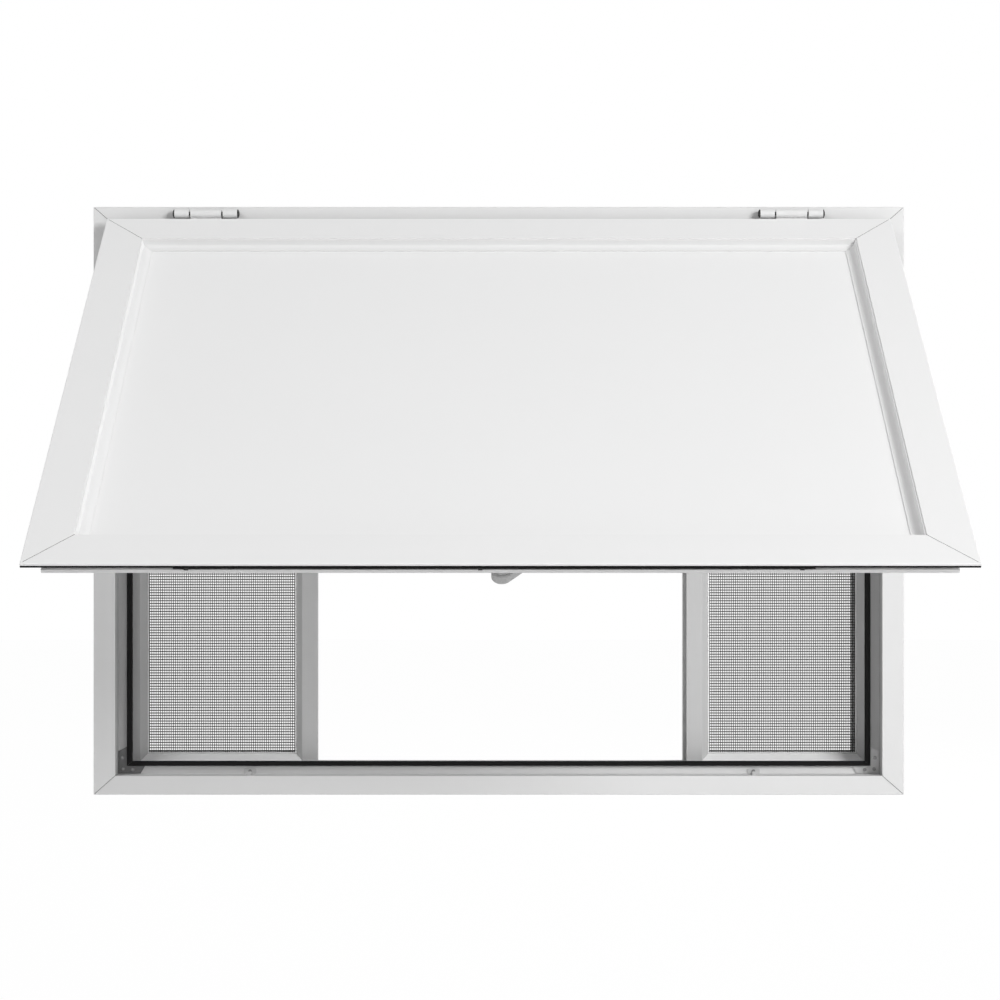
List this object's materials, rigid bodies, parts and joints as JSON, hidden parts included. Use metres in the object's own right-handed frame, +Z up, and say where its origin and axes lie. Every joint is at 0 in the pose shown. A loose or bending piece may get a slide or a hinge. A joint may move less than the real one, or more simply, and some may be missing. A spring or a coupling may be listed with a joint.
{
  "type": "concession window",
  "caption": "Flanged aluminium serving window with a top hinged awning hatch, lever lock and sliding insect screens.",
  "frame": {"origin": "middle of the sill flange's back face, on the wall surface", "axes": "+X to the right seen from outside, +Y from outside into the wall, +Z up"},
  "size_m": [1.296, 0.8495, 0.94],
  "materials": {
    "frame_aluminium": "satin white powder coat",
    "hatch_aluminium": "satin white powder coat",
    "panel_white": "smooth satin white",
    "screen_aluminium": "satin silver",
    "insect_mesh": "woven grey wire",
    "black_rubber": "matt black",
    "bracket_steel": "brushed",
    "hinge_white": "satin white",
    "pin_dark": "dark steel",
    "handle_grey": "satin light grey"
  },
  "bodies": {
    "root": {"frame_head": "frame_aluminium", "frame_sill": "frame_aluminium", "frame_jamb_left": "frame_aluminium", "frame_jamb_right": "frame_aluminium", "ledge_gasket_upright": "black_rubber", "ledge_gasket_level": "black_rubber", "corner_bracket_bottom_left": "bracket_steel", "corner_bracket_bottom_right": "bracket_steel", "corner_bracket_top_left": "bracket_steel", "corner_bracket_top_right": "bracket_steel", "lock_keeper_left": "bracket_steel", "lock_keeper_right": "bracket_steel", "screen_left_front_stiles": "screen_aluminium", "screen_left_front_rails": "screen_aluminium", "screen_left_front_mesh": "insect_mesh", "screen_left_rear_stiles": "screen_aluminium", "screen_left_rear_rails": "screen_aluminium", "screen_left_rear_mesh": "insect_mesh", "screen_right_front_stiles": "screen_aluminium", "screen_right_front_rails": "screen_aluminium", "screen_right_front_mesh": "insect_mesh", "screen_right_rear_stiles": "screen_aluminium", "screen_right_rear_rails": "screen_aluminium", "screen_right_rear_mesh": "insect_mesh", "hinge_left_frame_leaf": "hinge_white", "hinge_left_pin": "pin_dark", "hinge_right_frame_leaf": "hinge_white", "hinge_right_pin": "pin_dark"},
    "hatch": {"hatch_rail_top": "hatch_aluminium", "hatch_rail_bottom": "hatch_aluminium", "hatch_stile_left": "hatch_aluminium", "hatch_stile_right": "hatch_aluminium", "hatch_bead_upright": "hatch_aluminium", "hatch_bead_level": "hatch_aluminium", "hatch_panel": "panel_white", "hatch_seal_top": "black_rubber", "hatch_seal_bottom": "black_rubber", "hatch_seal_left": "black_rubber", "hatch_seal_right": "black_rubber", "hinge_left_hatch_leaf": "hinge_white", "hinge_right_hatch_leaf": "hinge_white", "handle_base": "handle_grey"},
    "handle": {"handle_lever": "handle_grey"},
    "lock_bar": {"lock_bar": "bracket_steel"}
  },
  "joints": [
    {"name": "hatch_hinge", "type": "hinge", "parent": "root", "child": "hatch", "pos_m": [0, -0.0102, 0.914], "axis": [-1, 0, 0], "range_deg": [-53.8, 31.2]},
    {"name": "handle_turn", "type": "hinge", "parent": "hatch", "child": "handle", "pos_m": [0.002, -0.67937, 0.37827], "axis": [0, 0.5906, -0.807], "range_deg": [-45, 45]},
    {"name": "lock_slide", "type": "slide", "parent": "hatch", "child": "lock_bar", "axis": [1, 0, 0], "range_m": [-0.012, 0.012]}
  ],
  "couplings": [
    {"joint": "lock_slide", "follows": "handle_turn", "m_per_rad": 0.015279}
  ]
}
